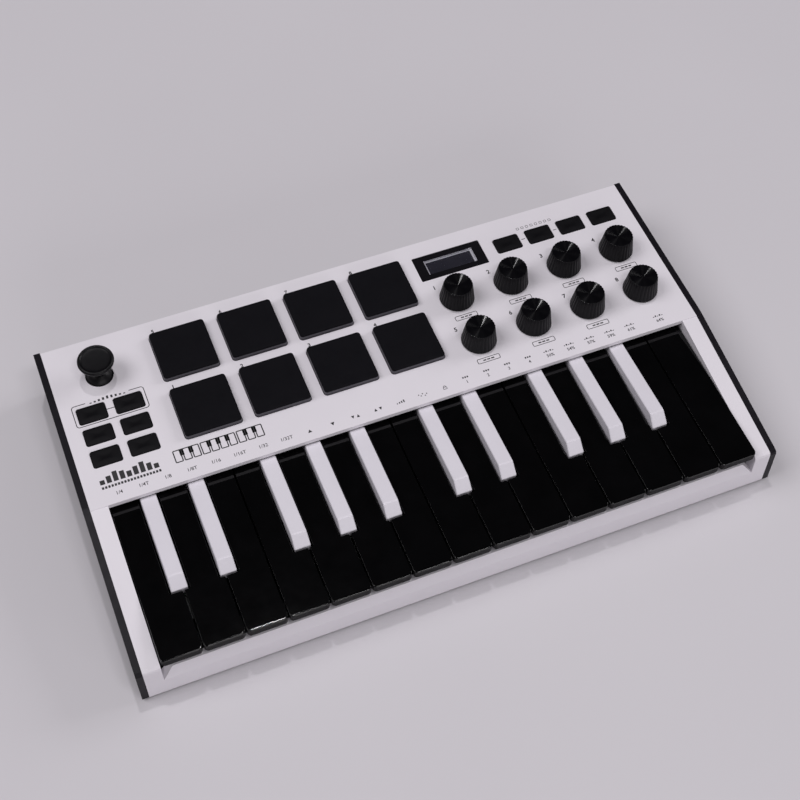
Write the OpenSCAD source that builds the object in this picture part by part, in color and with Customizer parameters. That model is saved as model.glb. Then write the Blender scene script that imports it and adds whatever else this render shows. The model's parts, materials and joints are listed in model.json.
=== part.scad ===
// Mini key controller: 25 sprung keys, 8 pads, 8 endless knobs, 10 buttons and a two-axis stick.
// Millimetres. +X right, +Y to the back, +Z up. The origin is on the table, under the middle.

/* [Keys] */
// Distance between neighbouring natural keys
key_pitch = 19.6; // [15:0.1:26]
// Gap between two keys, and between a key and its neighbour's cut-out
key_gap = 0.8; // [0.4:0.05:1.5]
// Natural key length that shows in front of the panel
key_len = 79; // [60:0.5:100]
// Height of the front skirt of a natural key
key_h = 4.6; // [3.5:0.1:8]
// How far the natural keys' top lies under the panel's top
key_drop = 5.6; // [3:0.1:8]
// Width of a sharp key
sharp_w = 8; // [6:0.1:10]
// Length of a sharp key that shows in front of the panel
sharp_len = 48.7; // [35:0.1:65]
// Height of a sharp key above the naturals, at its front kink
sharp_h = 4.95; // [3.5:0.05:7]
// Rise of a sharp key's top from the panel to its front kink
sharp_rise = 2.45; // [0:0.05:3]
// Length of the sharp key's sloping front
sharp_nose = 5.3; // [3:0.1:8]
// Sideways shift of the C and D sharps from the gap between their naturals
shift_cd = 1.55; // [0:0.05:2]
// Sideways shift of the F and A sharps from the gap between their naturals
shift_fa = 2.65; // [0:0.05:3]
// Wall of the moulded keys
key_wall = 1.2; // [0.8:0.1:1.8]
// Angle a key turns when it is pressed fully
key_turn = 2.9; // [2:0.1:3.5]

/* [Case] */
// Height of the panel's top above the table
panel_z = 33.7; // [28:0.1:44]
// Wall of the two case shells
wall = 2; // [1.5:0.1:2.6]
// Thickness of the side cheeks
cheek_t = 3.2; // [2.4:0.1:5]
// Smallest width of the strip beside the keys
strip_w = 7.9; // [6:0.1:14]
// Gap between the end keys and the side of the key bay
bay_gap = 0.6; // [0.4:0.05:1.2]
// Slope of the case sides beside the keys
slope = 7.4; // [4:0.1:8]
// Lean of the front face from upright
front_lean = 4.5; // [0:0.5:8]
// How far the front of the case stands in front of the keys
front_over = 1.9; // [1.6:0.1:4]
// How far the cheeks stand behind the panel
rear_over = 0.6; // [0.3:0.1:2]
// Height of the front lip's top above the table
lip_z = 12; // [9:0.1:14]
// Height of the rubber feet under the case
foot_h = 1.4; // [1:0.1:3]
// Radius of a rubber foot
foot_r = 6; // [4:0.5:8]

/* [Control layout] */
// Panel strip in front of the controls
front_margin = 16.2; // [15:0.1:30]
// Panel strip behind the controls
rear_margin = 9.04; // [7:0.01:15]
// Panel strip left of the buttons
left_margin = 7.71; // [5:0.01:15]
// Panel strip right of the buttons
right_margin = 9.55; // [5:0.1:15]
// Space between the left buttons and the pads
left_gap = 12.25; // [6:0.1:20]
// Space between the pads and the screen
pad_screen_gap = 7.2; // [5:0.1:20]
// Space between the screen and the upper buttons
screen_gap = 6.85; // [3:0.1:15]

/* [Pads] */
// Side of a square pad
pad_w = 27.96; // [20:0.02:35]
// Space between two pads
pad_space = 6.57; // [4:0.01:12]
// Height of a pad above the panel
pad_h = 3.4; // [2:0.1:5]
// Travel of a pad
pad_travel = 0.8; // [0.4:0.1:1]
// Corner radius of a pad
pad_r = 1.6; // [0.5:0.1:4]

/* [Buttons] */
// Width of a button
button_w = 13.6; // [10:0.1:17]
// Depth of a button
button_d = 9; // [7:0.1:12]
// Height of a button above the panel
button_h = 0.6; // [0.3:0.1:1.6]
// Travel of a button
button_travel = 0.5; // [0.3:0.1:0.7]
// Corner radius of a button
button_r = 1; // [0.5:0.1:2]
// Space between two buttons side by side
button_space = 4.35; // [3:0.05:10]
// Space between two rows of buttons
button_row_space = 3.46; // [2.6:0.02:8]

/* [Knobs] */
// Distance between two knob columns
knob_pitch = 29.7; // [22:0.1:38]
// Distance between the two knob rows
knob_row = 27.6; // [20:0.1:36]
// Distance from the row of upper buttons to the first knob row
knob_drop = 22.9; // [18:0.1:32]
// Radius at the foot of a knob
knob_r1 = 8.9; // [7:0.1:11]
// Radius at the top of a knob
knob_r2 = 7.3; // [5:0.1:9]
// Height of a knob's top above the panel
knob_h = 11.1; // [8:0.1:16]
// Radius of the encoder shaft in the knob
shaft_r = 3; // [2:0.1:3.5]
// Radial running clearance of the shafts and pins
run_gap = 0.05; // [0.02:0.01:0.1]

/* [Stick] */
// Radius of the stick's cap
cap_r = 8.75; // [7:0.05:10.5]
// Height of the cap's rim above the panel
cap_h = 13.3; // [11:0.1:18]
// Radius of the round shell around the pivot
dome_r = 6.6; // [6:0.1:8]
// Depth of the pivot under the panel's top
pivot_drop = 2.5; // [2:0.1:3]
// Height of the stick's centre over the first row of left buttons
stick_rise = 20.2; // [18:0.1:26]

/* [Screen] */
// Width of the screen window
screen_w = 36.86; // [30:0.02:45]
// Depth of the screen window
screen_d = 15.42; // [12:0.02:18.5]
// Thickness of the screen window
screen_t = 1.2; // [0.8:0.1:1.4]

/* [Sockets] */
// Radius of the pedal jack's bore
jack_r = 3.2; // [1.8:0.05:3.6]
// Distance from the left side to the pedal jack
jack_x = 52; // [40:1:90]
// Distance from the left side to the data socket
data_x = 28; // [20:1:38]

/* [Hidden] */
$fn = 48;
eps = 0.01;
air = 0.3;          // space kept between pieces that move past each other
seam = 0.1;         // space between the two case shells

// Which natural each sharp follows, and its sideways shift
naturals = 15;
sharp_after = [0, 1, 3, 4, 5, 7, 8, 10, 11, 12];
sharp_shift = [-shift_cd, shift_cd, -shift_fa, 0, shift_fa, -shift_cd, shift_cd, -shift_fa, 0, shift_fa];

// Widths: the panel is as wide as the keys or the controls need, whichever is more
bay_w = naturals * key_pitch - key_gap + 2 * bay_gap;
left_w = 2 * button_w + button_space;
pads_w = 4 * pad_w + 3 * pad_space;
top_buttons_w = 4 * button_w + 3 * button_space;
knob_inset = 0.85;
right_w = max(screen_w + screen_gap + top_buttons_w, 3 * knob_pitch + 2 * knob_r1 + knob_inset);
controls_w = left_margin + left_w + left_gap + pads_w + pad_screen_gap + right_w + right_margin;
panel_w = max(bay_w + 2 * strip_w, controls_w);
body_w = panel_w + 2 * cheek_t;

// Depths: the control field is as deep as its deepest block needs
button_row = button_d + button_row_space;
top_row_in = max(screen_d, button_d) / 2;
pads_d = 2 * pad_w + pad_space;
knobs_d = top_row_in + knob_drop + knob_row + knob_r1;
stick_in = 12.86;
left_d = stick_in + stick_rise + 2 * button_row + button_d / 2;
field_d = max(pads_d, knobs_d, left_d);
panel_d = rear_margin + field_d + front_margin;
body_d = rear_over + panel_d + key_len + front_over;
rear_y = body_d / 2;
panel_rear = rear_y - rear_over;
panel_front = panel_rear - panel_d;
keys_front = panel_front - key_len;
field_y = panel_rear - rear_margin;

// Places of the controls
left_x = -panel_w / 2 + left_margin;
pads_x = left_x + left_w + left_gap;
right_end = panel_w / 2 - right_margin;
right_x = right_end - right_w;
stick_x = left_x + left_w / 2;
stick_y = field_y - stick_in;
top_y = field_y - top_row_in;
screen_x = right_x + screen_w / 2;
function left_button_at(i) = [left_x + button_w / 2 + (i % 2) * (button_w + button_space),
    stick_y - stick_rise - floor(i / 2) * button_row];
function top_button_at(i) = [right_end - button_w / 2 - (3 - i) * (button_w + button_space), top_y];
function pad_at(i) = [pads_x + pad_w / 2 + (i % 4) * (pad_w + pad_space),
    field_y - pad_w / 2 - (1 - floor(i / 4)) * (pad_w + pad_space)];
function knob_at(i) = [right_end - knob_inset - knob_r1 - (3 - i % 4) * knob_pitch,
    top_y - knob_drop - floor(i / 4) * knob_row];
buttons = concat([for (i = [0:5]) left_button_at(i)], [for (i = [0:3]) top_button_at(i)]);

// Heights
floor_z = foot_h;
inner_z = floor_z + wall;
roof_z = panel_z - wall;
key_top = panel_z - key_drop;
key_bottom = key_top - key_h;
board_t = 1.6;
board_top = panel_z - 9.5;
board_z = board_top - board_t;

// The key hinge: one rod right across, behind the panel's edge
hinge_r = 1.5;
hinge_in = 8.1;
hinge_y = panel_front + hinge_in;
hinge_z = key_bottom - 3.2;
tail_end = hinge_y + 4;
tail_bottom = hinge_z - hinge_r - 1.4;
function press_at(y) = (hinge_y - y) * sin(key_turn);

// The plungers under the keys and the rubber contacts they press
plunger_y = keys_front + 0.55 * key_len;
plunger_z = key_bottom - 2.6;
frame_z = inner_z + 2.2;
frame_t = 1.5;
contact_board_z = frame_z + frame_t;
dome_top = plunger_z - press_at(plunger_y) - air;
stop_y = keys_front + 10;
stop_top = key_bottom - press_at(stop_y - 3) - air;

// Keys seen from above
nat_w = key_pitch - key_gap;
cut_y = panel_front - sharp_len - key_gap;
function nat_x(i) = (i - (naturals - 1) / 2) * key_pitch;
function sharp_x(j) = nat_x(sharp_after[j]) + key_pitch / 2 + sharp_shift[j];
function after(i) = search([i], sharp_after)[0];
function nat_left(i) = is_num(after(i - 1)) ? sharp_x(after(i - 1)) + sharp_w / 2 + key_gap
    : nat_x(i) - nat_w / 2;
function nat_right(i) = is_num(after(i)) ? sharp_x(after(i)) - sharp_w / 2 - key_gap
    : nat_x(i) + nat_w / 2;
rib_t = 1.6;
rib_room = rib_t / 2 + 0.5;
function tail_left(i) = is_num(after(i - 1)) ? nat_left(i) : nat_x(i) - key_pitch / 2 + rib_room;
function tail_right(i) = is_num(after(i)) ? nat_right(i) : nat_x(i) + key_pitch / 2 - rib_room;

// Slope of the case beside the keys, and the front face
slope_y = panel_front + 2;
front_top_y = keys_front + 0.2;
slope_drop = tan(slope);
function side_z(y) = y > slope_y ? panel_z : panel_z - (slope_y - y) * slope_drop;
front_top_z = side_z(front_top_y);
front_y = -rear_y;
function face_y(z) = front_y + (z - floor_z) * tan(front_lean);
nose_z = front_top_z - 1.6;

// Steep face from the front lip up to just under the pressed keys
riser_z = key_bottom - press_at(keys_front) - 0.5;
riser_y = face_y(lip_z) + 0.36 * (riser_z - lip_z);
riser_in = 0.8 * (riser_z - lip_z);

screw_r = 1.1;
head_r = 2.4;
post_r = 2.5;
pad_flange = 1.5;   // rim of a pad's foot under the panel

// Screw places: through the floor into the top shell, frame to floor, board to top shell
bay_x = bay_w / 2;
post_x = (bay_x + 1.6 + panel_w / 2) / 2;
rear_wall_y = rear_y - wall - 0.4;
rear_post_y = (field_y + pad_flange + rear_wall_y) / 2;
case_screws = [[-post_x, keys_front + 12], [post_x, keys_front + 12],
    [-post_x, panel_front - 10], [post_x, panel_front - 10],
    [-post_x, rear_post_y], [-post_x / 3, rear_post_y], [post_x / 3, rear_post_y],
    [post_x, rear_post_y]];
frame_screws = [for (x = [-bay_x + 14, bay_x - 14], y = [keys_front + 20, panel_front - 4]) [x, y]];
board_screws = [for (x = [pads_x - pad_flange - air - post_r, pads_x + pads_w + pad_flange + air + post_r],
    y = [field_y - pad_w, field_y - pads_d]) [x, y]];
feet_at = [for (x = [-1, 1], y = [-1, 1]) [x * (body_w / 2 - 24), y * (body_d / 2 - 16)]];

// Board outline
board_front = hinge_y + 7;
board_rear = rear_post_y - post_r - 0.6;

// Pivot of the stick
pivot_z = panel_z - pivot_drop;
dome_in = dome_r - 0.9;
pin_r = 0.7;
ring_r = 3.9;
ring_in = 2.7;
ring_h = 2.2;
post_in = 4.4;
post_out = 5.1;

// Sockets in the back wall
jack_at_x = -body_w / 2 + jack_x;
jack_body = 12;
jack_z = board_z - jack_body / 2;
jack_len = 30;
data_at_x = -body_w / 2 + data_x;
data_w = 12;
data_h = 11;
data_in_w = 8.5;
data_in_h = 7.8;
data_z = board_z - data_h / 2;

// Flat shape with exactly rounded corners, centred
module rounded(w, d, r) {
    square([w - 2 * r, d], center = true);
    square([w, d - 2 * r], center = true);
    for (x = [-1, 1], y = [-1, 1])
        translate([x * (w / 2 - r), y * (d / 2 - r)]) circle(r);
}

// Outline in Y and Z, pushed along X from x0 to x1
module side_plate(x0, x1, points) {
    translate([x0, 0, 0]) rotate([90, 0, 90]) linear_extrude(x1 - x0) polygon(points);
}

module box(x0, x1, y0, y1, z0, z1) {
    translate([x0, y0, z0]) cube([x1 - x0, y1 - y0, z1 - z0]);
}

module rod_x(x0, x1, y, z, r) {
    translate([x0, y, z]) rotate([0, 90, 0]) cylinder(h = x1 - x0, r = r);
}

// Black tray: floor, side cheeks and back wall in one moulding
module bottom_case() {
    half = body_w / 2;
    color([0.03, 0.03, 0.035]) difference() {
        union() {
            box(-half + eps, half - eps, face_y(inner_z) + wall + seam, rear_y - eps, floor_z, inner_z);
            box(-half + eps, half - eps, rear_wall_y, rear_y, floor_z, roof_z - seam);
            for (side = [-1, 1])
                side_plate(side > 0 ? half - cheek_t : -half, side > 0 ? half : -half + cheek_t, [
                    [face_y(floor_z), floor_z], [rear_y, floor_z], [rear_y, panel_z],
                    [slope_y, panel_z], [front_top_y + 1.2, side_z(front_top_y + 1.2)],
                    [front_top_y, front_top_z - 0.5], [face_y(nose_z), nose_z]]);
            for (p = case_screws) translate([p[0], p[1], inner_z - eps]) cylinder(h = 2.6, r = post_r + 1);
            for (p = frame_screws)
                translate([p[0], p[1], inner_z - eps]) cylinder(h = frame_z - inner_z, r = post_r);
        }
        for (p = case_screws) translate([p[0], p[1], 0]) {
            cylinder(h = floor_z + 2.4, r = head_r + 0.2);
            cylinder(h = inner_z + 5, r = screw_r + 0.3);
        }
        for (p = frame_screws) translate([p[0], p[1], floor_z + 0.8]) cylinder(h = 9, r = screw_r + run_gap);
        for (p = feet_at) translate([p[0], p[1], 0]) cylinder(h = floor_z + 0.5, r = foot_r + seam);
        translate([jack_at_x, rear_y + 1, jack_z]) rotate([90, 0, 0]) cylinder(h = 6, r = 5.4);
        box(data_at_x - data_w / 2 - air, data_at_x + data_w / 2 + air, rear_y - 5, rear_y + 1,
            data_z - data_h / 2 - air, data_z + data_h / 2 + air);
    }
}

// Panel with its openings, the strips beside the keys and the front wall, as one shell
module top_case() {
    half = panel_w / 2 - seam;
    low = floor_z + 0.2;
    color([0.8, 0.78, 0.8]) difference() {
        union() {
            box(-half, half, panel_front, panel_rear, roof_z, panel_z);
            box(-bay_x - 1, bay_x + 1, panel_front, panel_front + 1.6, roof_z - 0.5, panel_z - eps);
            for (side = [-1, 1]) {
                side_plate(side > 0 ? bay_x : -half, side > 0 ? half : -bay_x, [
                    [panel_front + 4, panel_z], [slope_y, panel_z],
                    [front_top_y + 1.2, side_z(front_top_y + 1.2)], [front_top_y, front_top_z - 0.5],
                    [face_y(nose_z), nose_z], [face_y(low), low], [face_y(low) + wall, low],
                    [face_y(nose_z) + wall, nose_z], [front_top_y + wall, front_top_z - wall],
                    [slope_y, roof_z], [panel_front + 4, roof_z]]);
                side_plate(side > 0 ? bay_x : -bay_x - 1.6, side > 0 ? bay_x + 1.6 : -bay_x, [
                    [face_y(low + 4.8) + 0.5, low + 4.8], [panel_front + 3, low + 4.8],
                    [panel_front + 3, roof_z + 0.4], [slope_y, roof_z + 0.4],
                    [front_top_y + 1, front_top_z - 0.8], [face_y(nose_z) + 0.6, nose_z]]);
            }
            side_plate(-bay_x - 1, bay_x + 1, [
                [face_y(low), low], [face_y(lip_z), lip_z], [riser_y + 3, lip_z],
                [riser_y + 3, lip_z - 1.8], [face_y(lip_z) + wall, lip_z - 1.8],
                [face_y(low) + wall, low]]);
            riser();
            for (p = case_screws) translate([p[0], p[1], inner_z + 2.8])
                cylinder(h = side_z(p[1]) - 1 - inner_z - 2.8, r = post_r);
            for (p = board_screws) translate([p[0], p[1], board_top])
                cylinder(h = roof_z + eps - board_top, r = post_r);
        }
        for (p = case_screws) translate([p[0], p[1], 0]) cylinder(h = inner_z + 12.4, r = screw_r + run_gap);
        for (p = board_screws) translate([p[0], p[1], board_z]) cylinder(h = 7.4, r = screw_r + run_gap);
        for (i = [0:7]) {
            translate([pad_at(i)[0], pad_at(i)[1], roof_z - 1]) linear_extrude(wall + 2)
                rounded(pad_w + 2 * air, pad_w + 2 * air, pad_r + air);
            translate([knob_at(i)[0], knob_at(i)[1], roof_z - 1]) cylinder(h = wall + 2, r = shaft_r + 0.8);
        }
        for (p = buttons) translate([p[0], p[1], roof_z - 1]) linear_extrude(wall + 2)
            rounded(button_w + 2 * air, button_d + 2 * air, button_r + air);
        translate([stick_x, stick_y, roof_z - 1]) cylinder(h = wall + 2, r = dome_r + 0.25);
        translate([screen_x, top_y, panel_z - screen_t]) linear_extrude(screen_t + 1)
            rounded(screen_w + 2 * seam, screen_d + 2 * seam, 0.5);
        translate([screen_x, top_y, roof_z - 1]) linear_extrude(wall + 2)
            rounded(screen_w - 5, screen_d - 4, 0.5);
    }
}

// Block behind the front lip; its ends are cut back on the slant
module riser() {
    intersection() {
        side_plate(-bay_x, bay_x, [[face_y(lip_z), lip_z], [riser_y, riser_z], [riser_y + 3 - eps, riser_z],
            [riser_y + 3 - eps, lip_z - 1], [face_y(lip_z) + 1, lip_z - 1]]);
        translate([0, riser_y + 10, 0]) rotate([90, 0, 0]) linear_extrude(20)
            polygon([[-bay_x, lip_z - 2], [bay_x, lip_z - 2], [bay_x, lip_z], [bay_x - riser_in, riser_z],
                [-bay_x + riser_in, riser_z], [-bay_x, lip_z]]);
    }
}

// Plate under the keys with the stop rail in front, and the hinge rod in its ribs at the back
module key_frame() {
    end = bay_x - 0.4;
    rib_x = [for (i = [-1:naturals - 1]) if (!is_num(after(i))) nat_x(i) + key_pitch / 2];
    color([0.12, 0.12, 0.13]) difference() {
        union() {
            box(-end, end, stop_y - 3, tail_end + 1, frame_z, contact_board_z);
            box(-end, end, stop_y - 3, stop_y + 3, frame_z, stop_top);
            rod_x(-end, end, hinge_y, hinge_z, hinge_r);
            for (x = rib_x) {
                x0 = max(-end, x - rib_t / 2);
                x1 = min(end, x + rib_t / 2);
                side_plate(x0, x1, [[hinge_y - 6, frame_z + eps], [tail_end + 1 - eps, frame_z + eps],
                    [hinge_y + 3, hinge_z + 2.8], [hinge_y - 3, hinge_z + 2.8]]);
            }
        }
        for (p = frame_screws) translate([p[0], p[1], 0])
            cylinder(h = contact_board_z + 1, r = screw_r + 0.2);
    }
}

// Control board with its switches, encoders, sensors, display and sockets, and the key contact board
module circuit_boards() {
    edge = panel_w / 2 - 4;
    color([0.05, 0.22, 0.12]) {
        difference() {
            union() {
                box(-edge, edge, board_front, board_rear, board_z, board_top);
                for (i = [0:7]) {
                    k = knob_at(i);
                    box(k[0] - 6, k[0] + 6, k[1] - 6, k[1] + 6, board_top - eps, board_top + 5);
                    translate([k[0], k[1], board_top])
                        cylinder(h = panel_z - board_top - 0.2, r = shaft_r + 0.5);
                    p = pad_at(i);
                    in = pad_w / 2 - 3;
                    box(p[0] - in, p[0] + in, p[1] - in, p[1] + in, board_top - eps, board_top + 2);
                }
                for (p = buttons) {
                    box(p[0] - 3, p[0] + 3, p[1] - 3, p[1] + 3, board_top - eps, board_top + 3);
                    translate([p[0], p[1], board_top]) cylinder(h = 4.2, r = 1.6);
                }
                box(screen_x - 15, screen_x + 15, top_y - 5, top_y + 5, board_top - eps, roof_z - 0.6);
                box(stick_x - 8, stick_x + 8, stick_y - 8, stick_y + 8, board_top - eps, board_top + 2);
                for (x = [-post_out, post_in])
                    box(stick_x + x, stick_x + x + post_out - post_in, stick_y - 1.4, stick_y + 1.4,
                        board_top, pivot_z + 1.1);
                box(jack_at_x - jack_body / 2, jack_at_x + jack_body / 2, rear_y - jack_len - 3,
                    rear_wall_y - air, jack_z - jack_body / 2, board_z + eps);
                translate([jack_at_x, rear_y - 0.3, jack_z]) rotate([90, 0, 0]) cylinder(h = 8, r = 5);
                box(data_at_x - data_w / 2, data_at_x + data_w / 2, rear_y - 17, rear_y - 0.5,
                    data_z - data_h / 2, board_z + eps);
            }
            for (i = [0:7]) translate([knob_at(i)[0], knob_at(i)[1], board_top + 0.6])
                cylinder(h = 20, r = shaft_r + run_gap);
            for (p = board_screws) translate([p[0], p[1], 0]) cylinder(h = board_top + 1, r = screw_r + 0.2);
            rod_x(stick_x - 7, stick_x + 7, stick_y, pivot_z, pin_r + run_gap);
            translate([jack_at_x, rear_y + 1, jack_z]) rotate([90, 0, 0]) cylinder(h = jack_len, r = jack_r);
            box(data_at_x - data_in_w / 2, data_at_x + data_in_w / 2, rear_y - 13, rear_y + 1,
                data_z - data_in_h / 2, data_z + data_in_h / 2);
        }
        box(-bay_x + 6, bay_x - 6, plunger_y - 7, plunger_y + 7, contact_board_z, contact_board_z + board_t);
        box(-bay_x + 7, bay_x - 7, plunger_y - 4, plunger_y + 4, contact_board_z + board_t, dome_top);
    }
}

// Dark window flush with the panel
module screen_window() {
    color([0.02, 0.02, 0.03]) translate([screen_x, top_y, panel_z - screen_t])
        linear_extrude(screen_t) rounded(screen_w, screen_d, 0.4);
}

module screw(x, y, head_z, length, up) {
    translate([x, y, head_z]) mirror([0, 0, up ? 0 : 1]) {
        cylinder(h = 2, r = head_r);
        translate([0, 0, 1]) cylinder(h = length + 1, r = screw_r);
    }
}

module screws() {
    color([0.5, 0.5, 0.52]) {
        for (p = case_screws) screw(p[0], p[1], floor_z + 0.4, 9, true);
        for (p = frame_screws) screw(p[0], p[1], contact_board_z + 2, frame_t + 2, false);
        for (p = board_screws) screw(p[0], p[1], board_z - 2, board_t + 4, true);
    }
}

module feet() {
    color([0.06, 0.06, 0.06]) for (p = feet_at) translate([p[0], p[1], 0])
        cylinder(h = foot_h + 0.4, r = foot_r);
}

// Plan of a natural key, its walls drawn in by w
module natural_plan(i, w, rear) {
    x = nat_x(i);
    translate([x - nat_w / 2 + w, keys_front + w])
        square([nat_w - 2 * w, cut_y - keys_front - 2 * w]);
    translate([nat_left(i) + w, keys_front + w + 2])
        square([nat_right(i) - nat_left(i) - 2 * w, rear - keys_front - w - 2]);
}

module tail(x0, x1, top) {
    box(x0, x1, hinge_y - 4, tail_end, tail_bottom, top);
}

module hinge_bore() {
    rod_x(-bay_w, bay_w, hinge_y, hinge_z, hinge_r + run_gap);
}

module plunger(x) {
    box(x - 2, x + 2, plunger_y - 1.5, plunger_y + 1.5, plunger_z, key_top - key_wall + eps);
}

module natural_key(i) {
    mid = (nat_left(i) + nat_right(i)) / 2;
    color([0.015, 0.015, 0.018]) difference() {
        union() {
            difference() {
                translate([0, 0, key_bottom]) linear_extrude(key_h) natural_plan(i, 0, hinge_y - 3);
                translate([0, 0, key_bottom - 1]) linear_extrude(key_h - key_wall + 1)
                    natural_plan(i, key_wall, hinge_y - 5);
            }
            tail(tail_left(i), tail_right(i), key_top);
            plunger(mid);
        }
        hinge_bore();
    }
}

module sharp_key(j) {
    x = sharp_x(j);
    top = key_top + sharp_h;
    kink_y = panel_front - sharp_len + sharp_nose;
    color([0.8, 0.78, 0.8]) difference() {
        union() {
            side_plate(x - sharp_w / 2, x + sharp_w / 2, [
                [panel_front - sharp_len, key_bottom], [hinge_y - 3, key_bottom], [hinge_y - 3, key_top],
                [panel_front + 3, key_top], [panel_front, top - sharp_rise], [kink_y, top],
                [panel_front - sharp_len, key_top]]);
            tail(x - sharp_w / 2, x + sharp_w / 2, key_top);
        }
        difference() {
            side_plate(x - sharp_w / 2 + key_wall, x + sharp_w / 2 - key_wall, [
                [kink_y, key_bottom - 1], [hinge_y - 5, key_bottom - 1], [hinge_y - 5, key_top - key_wall],
                [panel_front + 2, key_top - key_wall], [panel_front - 1, top - sharp_rise - 2],
                [kink_y, top - 2]]);
            box(x - 2, x + 2, plunger_y - 1.5, plunger_y + 1.5, key_bottom - 2, top);
        }
        hinge_bore();
    }
    color([0.8, 0.78, 0.8]) box(x - 2, x + 2, plunger_y - 1.5, plunger_y + 1.5, plunger_z, key_bottom + eps);
}

// Rubber pad with a wider foot under the panel
module pad(i) {
    foot_z = board_top + 2 + pad_travel + air;
    color([0.04, 0.04, 0.045]) translate([pad_at(i)[0], pad_at(i)[1], 0]) {
        translate([0, 0, foot_z]) linear_extrude(panel_z + pad_h - foot_z) rounded(pad_w, pad_w, pad_r);
        translate([0, 0, foot_z]) linear_extrude(roof_z - air - foot_z)
            rounded(pad_w + 2 * pad_flange, pad_w + 2 * pad_flange, pad_r);
    }
}

module button(p) {
    stem_z = board_top + 4.2 + button_travel + air;
    color([0.04, 0.04, 0.045]) translate([p[0], p[1], 0]) {
        translate([0, 0, roof_z - 1.2]) linear_extrude(panel_z + button_h - roof_z + 1.2)
            rounded(button_w, button_d, button_r);
        translate([0, 0, roof_z - 1.2]) linear_extrude(1.2 - air)
            rounded(button_w + 2, button_d + 2, button_r);
        translate([0, 0, stem_z]) cylinder(h = roof_z - 1 - stem_z, r = 2);
    }
}

// Conical knob with the encoder's shaft under it
module knob(i) {
    foot = panel_z + 0.5;
    top = panel_z + knob_h;
    color([0.03, 0.03, 0.035]) translate([knob_at(i)[0], knob_at(i)[1], 0]) rotate_extrude()
        polygon([[0, board_top + 0.9], [shaft_r, board_top + 0.9], [shaft_r, foot], [knob_r1, foot],
            [knob_r2, top], [0, top]]);
}

// Ring that tilts front to back; its inner pins carry the stick
module stick_gimbal() {
    color([0.35, 0.35, 0.37]) translate([stick_x, stick_y, pivot_z]) {
        difference() {
            translate([0, 0, -ring_h / 2]) cylinder(h = ring_h, r = ring_r);
            translate([0, 0, -ring_h]) cylinder(h = 2 * ring_h, r = ring_in);
        }
        for (a = [0, 180]) rotate([0, 0, a]) rod_x(ring_in + 0.4, post_out - 0.1, 0, 0, pin_r);
        for (a = [90, 270]) rotate([0, 0, a]) rod_x(1, ring_in + 0.6, 0, 0, pin_r);
    }
}

// Stick: hub on the ring's pins, round shell, stem and dished cap
module joystick() {
    shell_low = 0.9;
    rim = panel_z + cap_h - pivot_z;
    color([0.03, 0.03, 0.035]) translate([stick_x, stick_y, pivot_z]) {
        difference() {
            union() {
                translate([0, 0, -1.5]) cylinder(h = dome_in + 1.7, r = 1.8);
                difference() {
                    sphere(dome_r);
                    sphere(dome_in);
                    translate([0, 0, shell_low - 20]) cylinder(h = 20, r = 20);
                }
            }
            rotate([0, 0, 90]) rod_x(-4, 4, 0, 0, pin_r + run_gap);
        }
        rotate_extrude() polygon([[0, dome_in + 0.3], [2.8, dome_in + 0.3], [2.8, rim - 3.6],
            [cap_r - 1.6, rim - 2.4], [cap_r, rim - 1.2], [cap_r, rim - 0.5], [cap_r - 0.5, rim],
            [cap_r - 1.3, rim], [cap_r - 2.4, rim - 1], [0, rim - 1.2]]);
    }
}

bottom_case();
top_case();
key_frame();
circuit_boards();
screen_window();
screws();
feet();
natural_key(0);  // key_c1
sharp_key(0);  // key_cs1
natural_key(1);  // key_d1
sharp_key(1);  // key_ds1
natural_key(2);  // key_e1
natural_key(3);  // key_f1
sharp_key(2);  // key_fs1
natural_key(4);  // key_g1
sharp_key(3);  // key_gs1
natural_key(5);  // key_a1
sharp_key(4);  // key_as1
natural_key(6);  // key_b1
natural_key(7);  // key_c2
sharp_key(5);  // key_cs2
natural_key(8);  // key_d2
sharp_key(6);  // key_ds2
natural_key(9);  // key_e2
natural_key(10);  // key_f2
sharp_key(7);  // key_fs2
natural_key(11);  // key_g2
sharp_key(8);  // key_gs2
natural_key(12);  // key_a2
sharp_key(9);  // key_as2
natural_key(13);  // key_b2
natural_key(14);  // key_c3
pad(0);  // pad_1
pad(1);  // pad_2
pad(2);  // pad_3
pad(3);  // pad_4
pad(4);  // pad_5
pad(5);  // pad_6
pad(6);  // pad_7
pad(7);  // pad_8
button(buttons[0]);  // button_left_1
button(buttons[1]);  // button_left_2
button(buttons[2]);  // button_left_3
button(buttons[3]);  // button_left_4
button(buttons[4]);  // button_left_5
button(buttons[5]);  // button_left_6
button(buttons[6]);  // button_top_1
button(buttons[7]);  // button_top_2
button(buttons[8]);  // button_top_3
button(buttons[9]);  // button_top_4
knob(0);  // knob_1
knob(1);  // knob_2
knob(2);  // knob_3
knob(3);  // knob_4
knob(4);  // knob_5
knob(5);  // knob_6
knob(6);  // knob_7
knob(7);  // knob_8
stick_gimbal();
joystick();
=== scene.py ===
"""Looks of the mini-key controller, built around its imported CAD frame.

Lengths are millimetres, and MM turns them into Blender's metres. Only the floor, the lights and
the camera at the end are placed in metres.
"""
import json
import math

import bmesh
import bpy
import numpy as np
from mathutils import Matrix, Vector


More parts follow.
